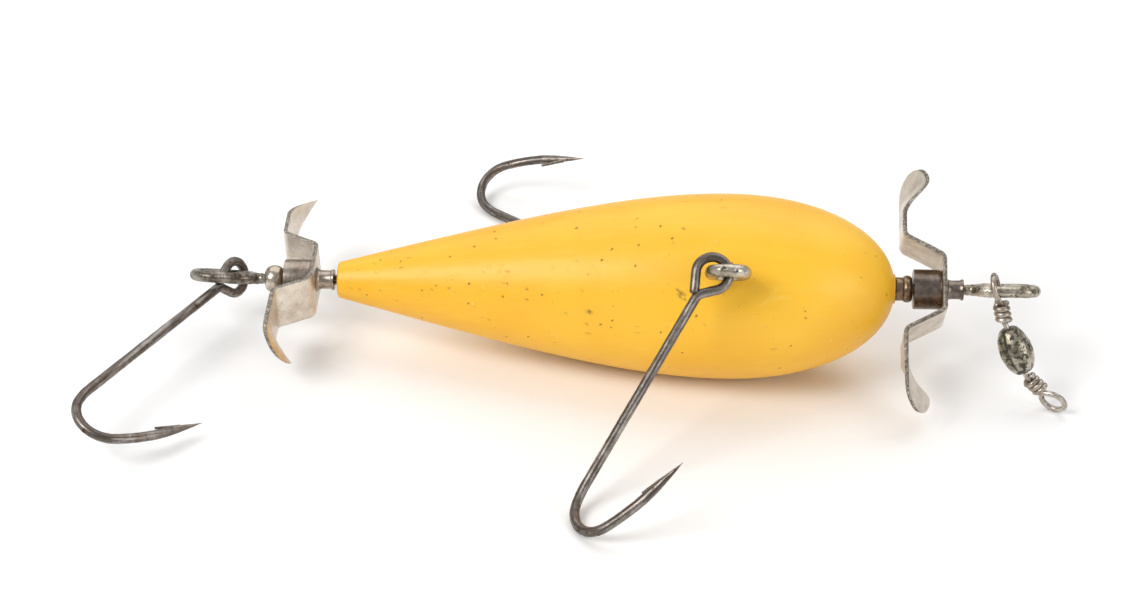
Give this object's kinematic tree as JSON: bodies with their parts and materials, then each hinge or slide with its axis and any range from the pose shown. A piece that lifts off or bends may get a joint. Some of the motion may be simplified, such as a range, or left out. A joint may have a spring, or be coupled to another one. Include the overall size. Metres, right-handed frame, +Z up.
{
  "type": "fishing lure",
  "caption": "Teardrop wooden fishing lure lying on its belly, with a spinning propeller at nose and tail, single hooks on wire eyes and a barrel swivel.",
  "frame": {"origin": "middle of the bounding box, on the surface the lure lies on", "axes": "+X towards the nose, +Y away from the side the picture shows, +Z up"},
  "size_m": [0.1316, 0.0866, 0.0257],
  "materials": {
    "paint": "glossy yellow paint over turned wood",
    "nickel": "worn nickel plate",
    "dark_nickel": "browned nickel plate",
    "steel": "dark browned steel with bright wear",
    "swivel_metal": "pitted nickel plate"
  },
  "bodies": {
    "lure": {"body": "paint", "front_eye": "nickel", "tail_eye": "nickel", "near_side_eye": "nickel", "far_side_eye": "nickel", "near_hook": "steel", "far_hook": "steel", "tail_hook": "steel", "swivel_upper_eye": "swivel_metal"},
    "front_rotor": {"front_propeller": "nickel", "front_hub": "dark_nickel"},
    "front_spacer": {"front_bead": "dark_nickel"},
    "tail_rotor": {"tail_propeller": "nickel", "tail_hub": "dark_nickel"},
    "tail_spacer": {"tail_bead": "nickel"},
    "swivel_body": {"swivel_barrel": "swivel_metal"},
    "line_eye": {"swivel_lower_eye": "swivel_metal"}
  },
  "joints": [
    {"name": "front_propeller_spin", "type": "hinge", "parent": "lure", "child": "front_rotor", "pos_m": [0.04779, 0.00024, 0.01431], "axis": [0.9983, 0, 0.059], "continuous": true},
    {"name": "front_bead_spin", "type": "hinge", "parent": "lure", "child": "front_spacer", "pos_m": [0.04779, 0.00024, 0.01431], "axis": [0.9983, 0, 0.059], "continuous": true},
    {"name": "tail_propeller_spin", "type": "hinge", "parent": "lure", "child": "tail_rotor", "pos_m": [-0.03811, 0.00024, 0.00924], "axis": [0.9983, 0, 0.059], "continuous": true},
    {"name": "tail_bead_spin", "type": "hinge", "parent": "lure", "child": "tail_spacer", "pos_m": [-0.03811, 0.00024, 0.00924], "axis": [0.9983, 0, 0.059], "continuous": true},
    {"name": "swivel_turn", "type": "hinge", "parent": "lure", "child": "swivel_body", "pos_m": [0.05656, -0.00366, 0.0112], "axis": [0.4548, -0.3161, -0.8326], "continuous": true},
    {"name": "line_eye_turn", "type": "hinge", "parent": "swivel_body", "child": "line_eye", "pos_m": [0.05656, -0.00366, 0.0112], "axis": [0.4548, -0.3161, -0.8326], "continuous": true}
  ]
}
